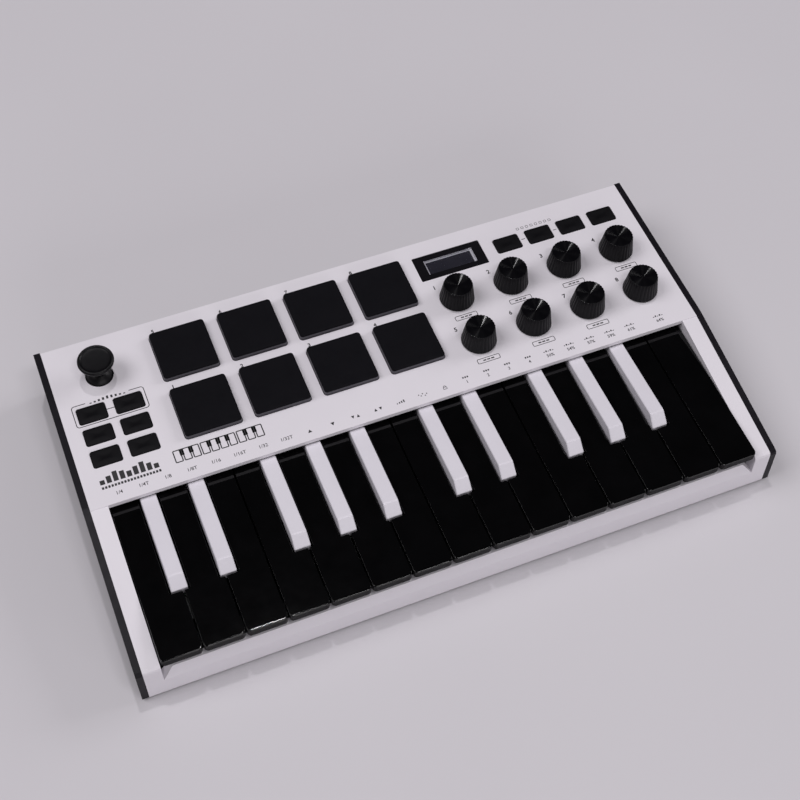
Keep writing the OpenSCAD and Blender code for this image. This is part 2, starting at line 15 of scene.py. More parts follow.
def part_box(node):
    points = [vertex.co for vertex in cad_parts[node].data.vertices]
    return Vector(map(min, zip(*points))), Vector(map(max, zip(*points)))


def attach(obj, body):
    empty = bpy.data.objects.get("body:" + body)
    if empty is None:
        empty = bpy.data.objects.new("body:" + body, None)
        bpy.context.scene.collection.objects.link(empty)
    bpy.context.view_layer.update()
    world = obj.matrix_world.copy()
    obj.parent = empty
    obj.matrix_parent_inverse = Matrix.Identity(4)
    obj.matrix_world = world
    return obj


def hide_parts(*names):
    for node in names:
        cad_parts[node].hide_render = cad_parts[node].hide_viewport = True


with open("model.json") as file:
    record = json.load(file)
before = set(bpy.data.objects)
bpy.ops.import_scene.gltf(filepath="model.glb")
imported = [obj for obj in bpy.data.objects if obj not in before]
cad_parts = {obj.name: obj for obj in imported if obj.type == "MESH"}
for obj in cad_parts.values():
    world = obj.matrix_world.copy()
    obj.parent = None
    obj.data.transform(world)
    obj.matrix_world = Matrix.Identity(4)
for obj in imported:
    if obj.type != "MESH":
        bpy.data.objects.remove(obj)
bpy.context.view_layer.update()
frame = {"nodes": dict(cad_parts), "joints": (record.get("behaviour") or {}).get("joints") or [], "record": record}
MM = 0.001
NODES = frame["nodes"]
JOINTS = {j["child"]: j for j in frame["joints"]}


def box_mm(node):
    """Lowest and highest corner of a CAD node, in millimetres."""
    lo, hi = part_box(node)
    return np.array(lo) / MM, np.array(hi) / MM


def pivot_mm(body):
    """Where a body's joint sits, in millimetres."""
    return np.array(JOINTS[body]["pos_m"]) / MM


# ---------------------------------------------------------------- shared sizes
PANEL_Z = box_mm("screen_window")[1][2]          # top of the white panel
CAP_ROOF = PANEL_Z - 2.3                          # flange tops of pads and buttons, under the panel
CASE_BACK = box_mm("bottom_case")[1][1]
KEY_NAMES = [n for n in NODES if n.startswith("key_") and n != "key_frame"]
SHARPS = sorted((n for n in KEY_NAMES if "s" in n[4:]), key=lambda n: box_mm(n)[0][0])
NATURALS = sorted((n for n in KEY_NAMES if "s" not in n[4:]), key=lambda n: box_mm(n)[0][0])
KEY_TOP = box_mm(NATURALS[0])[1][2]
KEY_BOTTOM = KEY_TOP - 4.6                        # foot of a natural's front face
KEY_GAP = 0.8                                     # between a sharp and the natural cut round it
KEY_WALL = 1.2
HINGE_Y, HINGE_Z = pivot_mm(NATURALS[0])[1:]
PANEL_FRONT = HINGE_Y - 8.1                       # front edge of the panel over the keys
FULL_TURN = 2 * math.pi


# ---------------------------------------------------------------- node helpers
def new_material(name, **constants):
    """A Principled material; constants go straight on the shader's own sockets."""
    material = bpy.data.materials.new(name)
    material.use_nodes = True
    shader = material.node_tree.nodes["Principled BSDF"]
    for key, value in constants.items():
        shader.inputs[key.replace("_", " ")].default_value = value
    return material, material.node_tree, shader


def add_node(tree, kind, inputs=None, **settings):
    """A node with its settings; an input is a value, or the socket that feeds it."""
    node = tree.nodes.new(kind)
    for key, value in settings.items():
        setattr(node, key, value)
    for key, value in (inputs or {}).items():
        if isinstance(value, bpy.types.NodeSocket):
            tree.links.new(value, node.inputs[key])
        else:
            node.inputs[key].default_value = value
    return node


def noise(tree, scale, detail=3.0, rough=0.5, stretch=None):
    """Noise in the piece's own metres, as a value about 0.5."""
    place = add_node(tree, "ShaderNodeTexCoord").outputs["Object"]
    if stretch:
        place = add_node(tree, "ShaderNodeMapping", {"Vector": place, "Scale": stretch}).outputs[0]
    settings = {"Vector": place, "Scale": scale, "Detail": detail, "Roughness": rough}
    return add_node(tree, "ShaderNodeTexNoise", settings).outputs["Fac"]


def ramp(tree, fac, stops):
    """Colours blended between stops, each a (place, colour) pair."""
    node = add_node(tree, "ShaderNodeValToRGB", {"Fac": fac})
    band = node.color_ramp
    while len(band.elements) < len(stops):
        band.elements.new(0.5)
    for element, (place, colour) in zip(band.elements, stops):
        element.position = place
        element.color = (*colour, 1.0)
    return node.outputs["Color"]


def remap(tree, value, low, high, out_low, out_high):
    ends = {"From Min": low, "From Max": high, "To Min": out_low, "To Max": out_high}
    return add_node(tree, "ShaderNodeMapRange", {"Value": value, **ends}).outputs["Result"]


NOISE_SPAN = (0.3, 0.7)                           # most of a noise's values lie between these


def drift_colour(tree, shader, drift, colour_a, colour_b):
    """Base colour that drifts from one tone to another."""
    tone = ramp(tree, drift, list(zip(NOISE_SPAN, (colour_a, colour_b))))
    tree.links.new(tone, shader.inputs["Base Color"])


def drift_gloss(tree, shader, drift, low, high):
    """Roughness that drifts between two values."""
    tree.links.new(remap(tree, drift, *NOISE_SPAN, low, high), shader.inputs["Roughness"])


def bump(tree, shader, height, strength, depth_mm):
    inputs = {"Height": height, "Strength": strength, "Distance": depth_mm * MM}
    tree.links.new(add_node(tree, "ShaderNodeBump", inputs).outputs["Normal"], shader.inputs["Normal"])


def moulded(name, colour_a, colour_b, rough, grain, depth, patch=45.0, smudge=260.0, **constants):
    """Moulded plastic or rubber: slow colour drift, patchy gloss and a fine grain.

    grain, patch and smudge are noise scales per metre; depth is the grain's height in millimetres.
    """
    material, tree, shader = new_material(name, **constants)
    drift_colour(tree, shader, noise(tree, patch, 4.0, 0.6), colour_a, colour_b)
    drift_gloss(tree, shader, noise(tree, smudge, 3.0, 0.55), *rough)
    bump(tree, shader, noise(tree, grain, 2.0, 0.5), 1.0, depth)
    return material


# ---------------------------------------------------------------- materials
WHITE_ABS = moulded("white_abs", (0.72, 0.69, 0.735), (0.75, 0.72, 0.765), (0.42, 0.50),
                    2600.0, 0.006, patch=16.0, Specular_IOR_Level=0.35)
BLACK_ABS = moulded("black_abs", (0.0042, 0.0032, 0.0058), (0.0068, 0.0054, 0.0088), (0.36, 0.46),
                    2400.0, 0.010, Specular_IOR_Level=0.2)
KEY_BLACK = moulded("key_gloss_black", (0.0012, 0.0012, 0.0014), (0.0022, 0.0021, 0.0024), (0.05, 0.07),
                    900.0, 0.0004, patch=60.0, smudge=140.0, Specular_IOR_Level=0.42)
KEY_SKIRTS = moulded("key_skirt_black", (0.0012, 0.0012, 0.0014), (0.0022, 0.0021, 0.0024), (0.42, 0.52),
                     2600.0, 0.004, patch=60.0, Specular_IOR_Level=0.12)
KEY_WHITE = moulded("key_satin_white", (0.69, 0.665, 0.72), (0.72, 0.695, 0.75), (0.32, 0.42),
                    2200.0, 0.004, patch=30.0, Specular_IOR_Level=0.35)
PAD_RUBBER = moulded("pad_rubber", (0.0024, 0.0022, 0.0038), (0.0036, 0.0033, 0.0052), (0.66, 0.80),
                     3000.0, 0.014, patch=70.0, Specular_IOR_Level=0.11)
# Rubber for the pads' skirts, much paler than their tops: a painted sheen standing in for light reflected off the
# white panel.
PAD_SKIRT_PAINTED_SHEEN = moulded("pad_edge", (0.050, 0.046, 0.058), (0.062, 0.058, 0.070), (0.42, 0.52),
                   2800.0, 0.008, patch=90.0, Specular_IOR_Level=0.45)
BUTTON_RUBBER = moulded("button_rubber", (0.0028, 0.0026, 0.0036), (0.0042, 0.0039, 0.0052), (0.46, 0.58),
                        3000.0, 0.010, patch=120.0, Specular_IOR_Level=0.11)
KNOB_SIDE = moulded("knob_side", (0.0022, 0.0020, 0.0030), (0.0036, 0.0032, 0.0045), (0.38, 0.48),
                    2600.0, 0.008, patch=150.0, Specular_IOR_Level=0.16)
STICK_RUBBER = moulded("stick_rubber", (0.0020, 0.0018, 0.0028), (0.0034, 0.0031, 0.0044), (0.36, 0.46),
                       2800.0, 0.008, patch=110.0, Specular_IOR_Level=0.24)
FRAME_PLASTIC = moulded("frame_plastic", (0.028, 0.028, 0.031), (0.040, 0.040, 0.044), (0.45, 0.6),
                        1800.0, 0.015)
FOOT_RUBBER = moulded("foot_rubber", (0.016, 0.016, 0.017), (0.026, 0.025, 0.027), (0.72, 0.9),
                      2200.0, 0.03)
DISPLAY_FRAME = moulded("display_frame", (0.86, 0.85, 0.87), (0.90, 0.89, 0.91), (0.35, 0.5),
                        2400.0, 0.004, patch=80.0)
DISPLAY_FILM = moulded("display_film", (0.034, 0.033, 0.044), (0.046, 0.045, 0.058), (0.12, 0.2),
                       1200.0, 0.001, patch=90.0, Specular_IOR_Level=0.5)
BEZEL_GLOSS = moulded("bezel_gloss", (0.0060, 0.0055, 0.0070), (0.0085, 0.0080, 0.0100), (0.09, 0.16),
                      900.0, 0.0008, patch=60.0, Specular_IOR_Level=0.5)
INK = moulded("printing_ink", (0.010, 0.010, 0.012), (0.022, 0.021, 0.024), (0.45, 0.6),
              4000.0, 0.002, patch=700.0)


def turned_top():
    """Knob top turned on a lathe: the light stretches into a narrow streak from the middle out."""
    material, tree, shader = new_material("knob_turned_top", Anisotropic=1.0, Anisotropic_Rotation=0.25,
                                          Specular_IOR_Level=0.4)
    drift_colour(tree, shader, noise(tree, 180.0), (0.0020, 0.0019, 0.0026), (0.0032, 0.0030, 0.0040))
    drift_gloss(tree, shader, noise(tree, 420.0), 0.172, 0.184)
    tangent = add_node(tree, "ShaderNodeTangent", direction_type="RADIAL", axis="Z").outputs["Tangent"]
    tree.links.new(tangent, shader.inputs["Tangent"])
    return material


def brushed_steel(name, colour_a, colour_b):
    """Plated steel with fine lines along Z."""
    material, tree, shader = new_material(name, Metallic=1.0)
    drift_colour(tree, shader, noise(tree, 500.0), colour_a, colour_b)
    drift_gloss(tree, shader, noise(tree, 1500.0), 0.25, 0.42)
    bump(tree, shader, noise(tree, 3000.0, stretch=(1, 1, 0.1)), 0.6, 0.006)
    return material


def circuit_board():
    """Two green boards with paler tracks; the parts that stand on them are dark plastic."""
    material, tree, shader = new_material("circuit_board", Specular_IOR_Level=0.5)
    place = add_node(tree, "ShaderNodeTexCoord").outputs["Object"]
    cells = add_node(tree, "ShaderNodeTexVoronoi", {"Vector": place, "Scale": 210.0, "Randomness": 0.55},
                     feature="DISTANCE_TO_EDGE", distance="CHEBYCHEV").outputs["Distance"]
    track = remap(tree, cells, 0.03, 0.07, 1.0, 0.0)
    green = ramp(tree, track, [(0.0, (0.008, 0.050, 0.022)), (1.0, (0.020, 0.115, 0.050))])
    darks = ((0.016, 0.016, 0.018), (0.030, 0.030, 0.033))
    parts = ramp(tree, noise(tree, 300.0), list(zip(NOISE_SPAN, darks)))
    height = add_node(tree, "ShaderNodeSeparateXYZ", {"Vector": place}).outputs["Z"]
    control_z, contact_z = PANEL_Z - 10.3, box_mm("circuit_boards")[0][2] + 0.8     # the boards' middles
    at_control, at_contact = (
        add_node(tree, "ShaderNodeMath", {0: height, 1: z * MM, 2: 0.85 * MM}, operation="COMPARE").outputs[0]
        for z in (control_z, contact_z))
    on_board = add_node(tree, "ShaderNodeMath", {0: at_contact, 1: at_control}, operation="MAXIMUM")
    mix = add_node(tree, "ShaderNodeMix", {"Factor": on_board.outputs[0]}, data_type="RGBA")
    tree.links.new(parts, mix.inputs["A"])
    tree.links.new(green, mix.inputs["B"])
    tree.links.new(mix.outputs["Result"], shader.inputs["Base Color"])
    drift_gloss(tree, shader, noise(tree, 800.0), 0.3, 0.5)
    bump(tree, shader, track, 0.6, 0.03)
    return material


def clear_pane():
    """Thin clear window: see-through, with the gloss of a polished face."""
    material = bpy.data.materials.new("clear_pane")
    material.use_nodes = True
    tree = material.node_tree
    tree.nodes.remove(tree.nodes["Principled BSDF"])
    clear = add_node(tree, "ShaderNodeBsdfTransparent", {"Color": (0.93, 0.93, 0.95, 1.0)})
    smear = remap(tree, noise(tree, 150.0), *NOISE_SPAN, 0.03, 0.08)
    gloss = add_node(tree, "ShaderNodeBsdfGlossy", {"Color": (1, 1, 1, 1), "Roughness": smear})
    edge = add_node(tree, "ShaderNodeFresnel", {"IOR": 1.45})
    mix = add_node(tree, "ShaderNodeMixShader", {"Fac": edge.outputs[0]})
    tree.links.new(clear.outputs[0], mix.inputs[1])
    tree.links.new(gloss.outputs[0], mix.inputs[2])
    tree.links.new(mix.outputs[0], tree.nodes["Material Output"].inputs["Surface"])
    return material


KNOB_TOP = turned_top()
STEEL = brushed_steel("screw_steel", (0.42, 0.42, 0.44), (0.55, 0.55, 0.57))
GIMBAL_STEEL = brushed_steel("gimbal_steel", (0.25, 0.25, 0.27), (0.34, 0.34, 0.36))
BOARD = circuit_board()
PANE = clear_pane()


# ---------------------------------------------------------------- shape helpers
def rounded_polygon(corners, radii, steps=6):
    """Closed outline with each corner rounded by its own radius."""
    outline = []
    count = len(corners)
    for i in range(count):
        corner = np.array(corners[i], float)
        back = np.array(corners[i - 1], float) - corner
        ahead = np.array(corners[(i + 1) % count], float) - corner
        back /= np.linalg.norm(back)
        ahead /= np.linalg.norm(ahead)
        half = math.acos(max(-1.0, min(1.0, float(back @ ahead)))) / 2
        reach = radii[i] / math.tan(half)
        middle = (back + ahead) / np.linalg.norm(back + ahead)
        centre = corner + middle * radii[i] / math.sin(half)
        first = corner + back * reach - centre
        last = corner + ahead * reach - centre
        start = math.atan2(first[1], first[0])
        sweep = (math.atan2(last[1], last[0]) - start + math.pi) % FULL_TURN - math.pi
        for k in range(steps + 1):
            a = start + sweep * k / steps
            outline.append(centre + radii[i] * np.array([math.cos(a), math.sin(a)]))
    return np.array(outline)


def inset(corners, distances):
    """The corners after each edge moves in by its distance; they run counter-clockwise."""
    count = len(corners)
    moved = []
    for i in range(count):
        a, b, c = (np.array(corners[(i + k) % count], float) for k in (-1, 0, 1))
        u = (b - a) / np.linalg.norm(b - a)
        v = (c - b) / np.linalg.norm(c - b)
        shift_u = np.array([-u[1], u[0]]) * distances[i - 1]
        shift_v = np.array([-v[1], v[0]]) * distances[i]
        cross = u[0] * v[1] - u[1] * v[0]
        delta = (b + shift_v) - (b + shift_u)
        t = (delta[0] * v[1] - delta[1] * v[0]) / cross
        moved.append(b + shift_u + u * t)
    return moved


def circle(radius, count, centre=(0.0, 0.0)):
    """Points round a circle, counter-clockwise."""
    angles = np.linspace(0, FULL_TURN, count + 1)[:-1]
    return np.column_stack([centre[0] + radius * np.cos(angles), centre[1] + radius * np.sin(angles)])


def turns(corners):
    """+1 where a counter-clockwise outline turns out at a corner, -1 where it turns in."""
    signs = []
    for i in range(len(corners)):
        a, b, c = (np.array(corners[(i + k) % len(corners)], float) for k in (-1, 0, 1))
        signs.append(1 if (b - a)[0] * (c - b)[1] - (b - a)[1] * (c - b)[0] > 0 else -1)
    return signs


def rounded_rect(width, depth, radius, steps=8, centre=(0.0, 0.0)):
    w, d = width / 2, depth / 2
    corners = [(-w, -d), (w, -d), (w, d), (-w, d)]
    return rounded_polygon(corners, [radius] * 4, steps) + np.array(centre)


def at_height(outline, z):
    return np.column_stack([outline, np.full(len(outline), float(z))])


class Shape:
    """Vertices and faces gathered in millimetres, each face with a material number."""

    def __init__(self):
        self.points, self.faces, self.slots = [], [], []

    def add(self, points, faces, slot=0):
        start = len(self.points)
        self.points.extend(map(tuple, points))
        for face in faces:
            self.faces.append([start + i for i in face])
            self.slots.append(slot)

    def loft(self, rings, slot=0, first_cap=True, last_cap=True, closed=False):
        """Skin over rings of equal length; closed joins the last ring to the first."""
        count = len(rings[0])
        points = [p for ring in rings for p in ring]
        faces = []
        pairs = len(rings) if closed else len(rings) - 1
        for r in range(pairs):
            lower, upper = r * count, ((r + 1) % len(rings)) * count
            for k in range(count):
                n = (k + 1) % count
                faces.append([lower + k, lower + n, upper + n, upper + k])
        self.add(points, faces, slot)
        start = len(self.points) - len(points)
        if first_cap and not closed:
            self.faces.append([start + k for k in reversed(range(count))])
            self.slots.append(slot)
        if last_cap and not closed:
            self.faces.append([start + (len(rings) - 1) * count + k for k in range(count)])
            self.slots.append(slot)

    def prism_x(self, outline, hole, x0, x1):
        """Outline in Y and Z with a round hole, pushed from x0 to x1."""
        both = bmesh.new()
        loops = [outline, hole]
        for loop in loops:
            verts = [both.verts.new((0, p[0], p[1])) for p in loop]
            for k in range(len(verts)):
                both.edges.new((verts[k - 1], verts[k]))
        bmesh.ops.triangle_fill(both, use_beauty=True, use_dissolve=False, edges=both.edges[:],
                                normal=(1, 0, 0))
        both.verts.index_update()
        flat = [(v.co.y, v.co.z) for v in both.verts]
        tris = [[v.index for v in f.verts] for f in both.faces]
        both.free()
        count = len(flat)
        points = [(x0, y, z) for y, z in flat] + [(x1, y, z) for y, z in flat]
        faces = tris + [[count + i for i in t] for t in tris]
        start = 0
        for loop in loops:
            for k in range(len(loop)):
                n = (k + 1) % len(loop)
                faces.append([start + k, start + n, count + start + n, count + start + k])
            start += len(loop)
        self.add(points, faces)


def piece(name, shape, materials, body, replaced=(), centre=(0, 0, 0), smooth=32, weighted=True):
    """Turns a shape into a Blender object that rides on a body and stands for CAD nodes."""
    mesh = bpy.data.meshes.new(name)
    points = (np.array(shape.points) - np.array(centre)) * MM
    mesh.from_pydata(points.tolist(), [], shape.faces)
    for material in materials:
        mesh.materials.append(material)
    mesh.polygons.foreach_set("material_index", shape.slots)
    work = bmesh.new()
    work.from_mesh(mesh)
    bmesh.ops.remove_doubles(work, verts=work.verts[:], dist=1e-7)
    bmesh.ops.recalc_face_normals(work, faces=work.faces[:])
    work.to_mesh(mesh)
    work.free()
    mesh.shade_smooth()
    mesh.set_sharp_from_angle(angle=math.radians(smooth))
    thing = bpy.data.objects.new(name, mesh)
    thing.location = Vector(centre) * MM
    bpy.context.scene.collection.objects.link(thing)
    if weighted:
        thing.modifiers.new("weighted", "WEIGHTED_NORMAL").keep_sharp = True
    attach(thing, body)
    if replaced:
        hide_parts(*replaced)
    return thing


def bevel(thing, width, angle, segments):
    """Rounds the edges sharper than an angle in degrees."""
    edge = thing.modifiers.new("edges", "BEVEL")
    edge.width = width * MM
    edge.segments = segments
    edge.limit_method = "ANGLE"
    edge.angle_limit = math.radians(angle)
    edge.miter_outer = "MITER_ARC"
    return edge


def arc_profile(radius, height, steps):
    """Pairs (in, down) that round a top edge, from its side to its top."""
    pairs = []
    for k in range(steps + 1):
        a = k / steps * math.pi / 2
        pairs.append((radius * (1 - math.cos(a)), height * (1 - math.sin(a))))
    return pairs


# ---------------------------------------------------------------- keys
KEY_REAR = HINGE_Y - 3.0                          # where a key's shell meets its tail
PLUNGER_LOW = KEY_BOTTOM - 2.6
SIDE_ROLL, FRONT_ROLL = 0.18, 0.85                # how far a natural's edges round in
ROLL_HEIGHT = 0.6                                 # and how far down


def tail(shape, x0, x1):
    """Block at the back of a key, with the bore that clips on the hinge rod."""
    half_depth, drop, bore, top = 4.0, 2.9, 1.55, KEY_TOP - 0.05
    y0, y1 = HINGE_Y - half_depth, HINGE_Y + half_depth
    outline = rounded_polygon([(y0, HINGE_Z - drop), (y1, HINGE_Z - drop), (y1, top), (y0, top)],
                              [0.8, 0.8, 0.4, 0.2], 4)
    shape.prism_x(outline, circle(bore, 32, (HINGE_Y, HINGE_Z)), x0, x1)


def plunger(shape, x, low, high):
    """Post under a key that presses on the contact strip."""
    front = box_mm(NATURALS[0])[0][1]
    where = (x, front + 0.55 * (PANEL_FRONT - front))
    foot = rounded_rect(4.0, 3.0, 0.5, 4, where)
    tip = rounded_rect(3.4, 2.4, 0.4, 4, where)
    shape.loft([at_height(tip, low), at_height(foot, low + 0.4), at_height(foot, high)])


def natural_key(name):
    """Hollow glossy key, cut away beside the sharps next to it."""
    lo, hi = box_mm(name)
    cuts = [box_mm(s) for s in SHARPS]
    left = max([c[1][0] + KEY_GAP for c in cuts if c[0][0] < lo[0] < c[1][0]] + [lo[0]])
    right = min([c[0][0] - KEY_GAP for c in cuts if c[0][0] < hi[0] < c[1][0]] + [hi[0]])
    cut_y = cuts[0][0][1] - KEY_GAP
    corners = [(lo[0], lo[1]), (hi[0], lo[1])]
    radii = [1.9, 1.9]
    if right < hi[0]:
        corners += [(hi[0], cut_y), (right, cut_y)]
        radii += [0.8, 0.5]
    corners += [(right, KEY_REAR), (left, KEY_REAR)]
    radii += [0.3, 0.3]
    if left > lo[0]:
        corners += [(left, cut_y), (lo[0], cut_y)]
        radii += [0.5, 0.8]
    roll = [FRONT_ROLL] + [SIDE_ROLL] * (len(corners) - 1)
    signs = turns(corners)

    def ring(share, z, inward=0.0):
        """The outline with its edges rolled in by a share of their rounding."""
        moved = inset(corners, [r * share + inward for r in roll])
        rounding = [max(0.06, r - s * (0.5 * share + inward)) for r, s in zip(radii, signs)]
        return at_height(rounded_polygon(moved, rounding, 7), z)

    shape = Shape()
    skirts = [ring(0, KEY_TOP - KEY_WALL, KEY_WALL), ring(0, KEY_BOTTOM, KEY_WALL), ring(0, KEY_BOTTOM, 0.15),
              ring(0, KEY_BOTTOM + 0.18), ring(0, KEY_TOP - 0.65)]
    shape.loft(skirts, 1, last_cap=False)
    upper = [skirts[-1]]
    for share, down in arc_profile(1.0, ROLL_HEIGHT, 6):
        upper.append(ring(share, KEY_TOP - down))
    upper.append(ring(1.1, KEY_TOP))
    shape.loft(upper, first_cap=False)
    step = 0.9                              # the tail is this much narrower than an uncut side
    tail(shape, left if left > lo[0] else lo[0] + step, right if right < hi[0] else hi[0] - step)
    plunger(shape, (left + right) / 2, PLUNGER_LOW, KEY_TOP - 1.0)
    return piece(name + "_shell", shape, [KEY_BLACK, KEY_SKIRTS], name, [name])


def sharp_key(name):
    """Hollow satin key with a sloping nose, and its tail as a piece of its own."""
    lo, hi = box_mm(name)
    front, top = lo[1], hi[2]
    rise, nose = 2.45, 5.3                  # the top slopes up to the nose, which is this long
    side = [(front, KEY_BOTTOM), (KEY_REAR, KEY_BOTTOM), (KEY_REAR, KEY_TOP), (PANEL_FRONT + 3, KEY_TOP),
            (PANEL_FRONT, top - rise), (front + nose, top), (front, KEY_TOP)]
    draft = [0, 0, 0.12, 0.12, 0.22, 0.3, 0.14]      # the top is a little narrower than the foot
    shape = Shape()
    points = [(lo[0] + d, y, z) for (y, z), d in zip(side, draft)]
    points += [(hi[0] - d, y, z) for (y, z), d in zip(side, draft)]
    x0, x1, y0, y1 = lo[0] + KEY_WALL, hi[0] - KEY_WALL, front + KEY_WALL + 1, KEY_REAR - 2
    inner = [(x0, y0), (x0, y1), (x1, y1), (x1, y0)]
    points += [(x, y, KEY_BOTTOM) for x, y in inner]
    points += [(x, y, KEY_TOP - 0.2) for x, y in inner]
    count = len(side)
    faces = [[k, k + 1, count + k + 1, count + k] for k in range(1, count - 1)]
    faces += [[count - 1, 0, count, 2 * count - 1], list(range(count)), [count + k for k in range(count)]]
    outer = [0, 1, count + 1, count]
    rim = [2 * count + k for k in range(4)]
    roof = [2 * count + 4 + k for k in range(4)]
    for k in range(4):
        n = (k + 1) % 4
        faces.append([outer[k], outer[n], rim[n], rim[k]])
        faces.append([rim[k], rim[n], roof[n], roof[k]])
    faces.append(roof)
    shape.add(points, faces)
    thing = piece(name + "_shell", shape, [KEY_WHITE], name, [name])
    bevel(thing, 0.62, 20, 4)
    thing.modifiers.move(len(thing.modifiers) - 1, 0)       # ahead of the weighted normals
    block = Shape()
    tail(block, lo[0], hi[0])
    plunger(block, (lo[0] + hi[0]) / 2, PLUNGER_LOW, KEY_BOTTOM + 3.0)
    piece(name + "_tail", block, [KEY_WHITE], name)


for key in NATURALS:
    natural_key(key)
for key in SHARPS:
    sharp_key(key)


# ---------------------------------------------------------------- pads and buttons
PAD_WIDTH = 27.96
BUTTON_FLANGE = 1.0                               # how far a button's flange stands out all round


def patch(shape, width, depth, radius, rings, centre, lift):
    """Top skin from the outline to the middle; lift(x, y) gives its height."""
    outer = rounded_rect(width, depth, radius)
    loops = []
    for k in range(rings + 1):
        share = 1 - k / rings * 0.985
        loop = outer * share
        loops.append([(x + centre[0], y + centre[1], lift(x, y)) for x, y in loop])
    shape.loft(loops, first_cap=False)


def pad(name):
    """Crowned rubber pad on a flange; its skirt is painted paler up to a line below the top, a painted sheen for
    the light the panel throws on its sides.
    """
    lo, hi = box_mm(name)
    where = ((lo + hi) / 2)[:2]
    flange = hi[0] - lo[0] - PAD_WIDTH
    top = hi[2]
    shape = Shape()

    def ring(grow, radius, z):
        return at_height(rounded_rect(PAD_WIDTH + grow, PAD_WIDTH + grow, radius, 8, where), z)

    edge, crown = 0.5, 0.14                 # rounding of the top edge, and rise of its middle
    waist = 0.42                            # the head is this much narrower than the foot
    step = top - 1.35                       # over this line the side is as dark as the top
    foot = ring(0, 1.6, CAP_ROOF)
    shape.loft([ring(flange - 4, 1.4, lo[2] + 0.6), ring(flange - 4, 1.4, lo[2]), ring(flange, 1.6, lo[2]),
                ring(flange, 1.6, CAP_ROOF - 0.2), ring(flange - 0.4, 1.5, CAP_ROOF), foot],
               last_cap=False)
    # Up to the step line the skirt takes the paler material, a painted sheen.
    shape.loft([foot, ring(0, 1.6, PANEL_Z + 0.3), ring(-0.1, 1.6, step - 0.1), ring(-0.3, 1.5, step)],
               1, first_cap=False, last_cap=False)
    head = [ring(-0.3, 1.5, step)]
    for into, down in arc_profile(edge, edge, 6):
        head.append(ring(-2 * into - waist, max(0.5, 1.55 - into), top - crown - down))
    shape.loft(head, first_cap=False, last_cap=False)
    inner = PAD_WIDTH - 2 * edge - waist

    def lift(x, y):
        u, v = 2 * x / inner, 2 * y / inner
        return top - crown + crown * (1 - u * u) * (1 - v * v)

    patch(shape, inner, inner, 1.55 - edge, 9, where, lift)
    piece(name + "_rubber", shape, [PAD_RUBBER, PAD_SKIRT_PAINTED_SHEEN], name, [name],
          centre=(*where, PANEL_Z), smooth=40, weighted=False)


def button(name):
    """Small rubber cap on a flange and a stem."""
    lo, hi = box_mm(name)
    width, depth = hi[0] - lo[0] - 2 * BUTTON_FLANGE, hi[1] - lo[1] - 2 * BUTTON_FLANGE
    where = ((lo + hi) / 2)[:2]
    top = hi[2]
    shape = Shape()

    def ring(grow, radius, z):
        return at_height(rounded_rect(width + grow, depth + grow, radius, 8, where), z)

    corner, edge = 1.0, 0.3                 # radius of the outline, rounding of the top edge
    slope, dish = 0.42, 0.26                # fall of the front strip, depth of the dish
    strip = 0.26                            # the strip's share of the depth

    def lift(x, y):
        """Flat top with a faint dish, and a front strip that falls away."""
        v = (y + depth / 2) / depth
        fall = max(0.0, strip - v) / strip
        hollow = max(0.0, 1 - (2 * x / (width * 0.72)) ** 2) * max(0.0, 1 - ((v - 0.60) / 0.26) ** 2)
        return top - slope * fall ** 1.3 - dish * hollow

    rings = [ring(2 * BUTTON_FLANGE, corner, CAP_ROOF - 0.9), ring(2 * BUTTON_FLANGE, corner, CAP_ROOF),
             ring(0, corner, CAP_ROOF), ring(0, corner, PANEL_Z - 0.1)]
    for into, down in arc_profile(edge, edge, 4):
        outline = rounded_rect(width - 2 * into, depth - 2 * into, corner - into, 8)
        rings.append([(x + where[0], y + where[1], lift(x, y) - down) for x, y in outline])
    shape.loft(rings, last_cap=False)
    patch(shape, width - 2 * edge, depth - 2 * edge, corner - edge, 14, where, lift)
    stem = circle(2.0, 24, where)
    shape.loft([at_height(stem, lo[2]), at_height(stem, CAP_ROOF - 0.85)])
    piece(name + "_cap", shape, [BUTTON_RUBBER], name, [name],
          centre=(*where, PANEL_Z), smooth=40, weighted=False)


for number in range(1, 9):
    pad(f"pad_{number}")
for number in range(1, 7):
    button(f"button_left_{number}")
for number in range(1, 5):
    button(f"button_top_{number}")


# ---------------------------------------------------------------- knobs
FLUTES = 28


